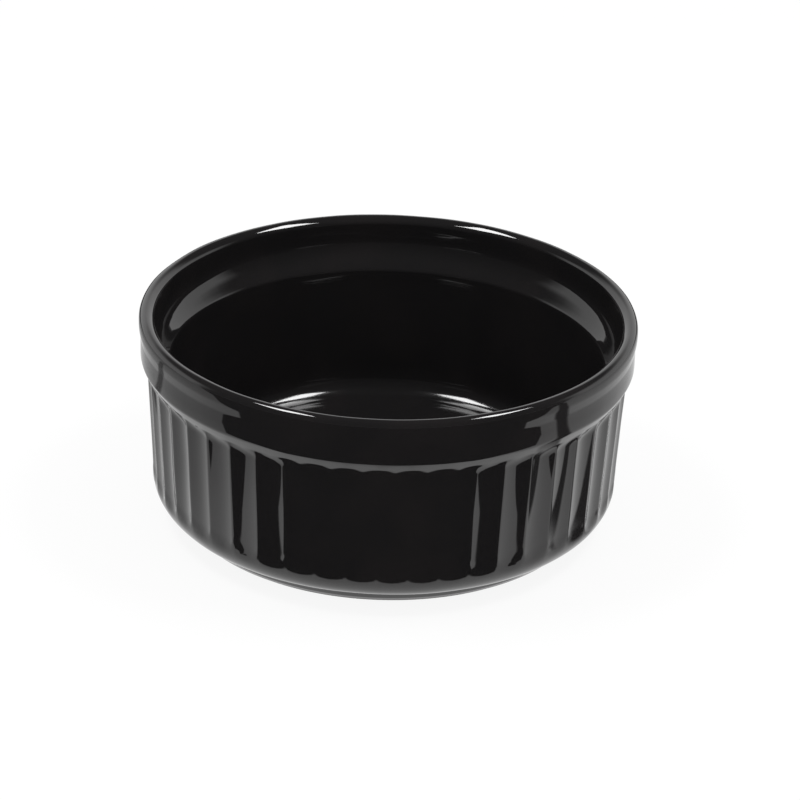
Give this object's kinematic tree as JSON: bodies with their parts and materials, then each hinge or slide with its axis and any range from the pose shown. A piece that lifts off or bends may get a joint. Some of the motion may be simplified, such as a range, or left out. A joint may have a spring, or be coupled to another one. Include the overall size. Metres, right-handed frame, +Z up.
{
  "type": "sauce dish",
  "caption": "Round straight-sided sauce dish of black glazed stoneware, with a fluted wall, a plain band under a rounded rim, a stepped inside ledge and a low foot ring.",
  "frame": {"origin": "under the middle of the dish, on the surface that its foot ring stands on", "axes": "+Z up along the dish's turning axis, -Y towards the viewer of the picture"},
  "size_m": [0.1, 0.1, 0.0443],
  "materials": {
    "clay": "bare fired stoneware, matt and fine grained",
    "glaze": "black high-gloss glaze",
    "base_glaze": "black gloss glaze under the base"
  },
  "bodies": {
    "root": {"stoneware_body": "clay", "glaze_coat": "glaze", "base_glaze": "base_glaze"}
  },
  "joints": []
}
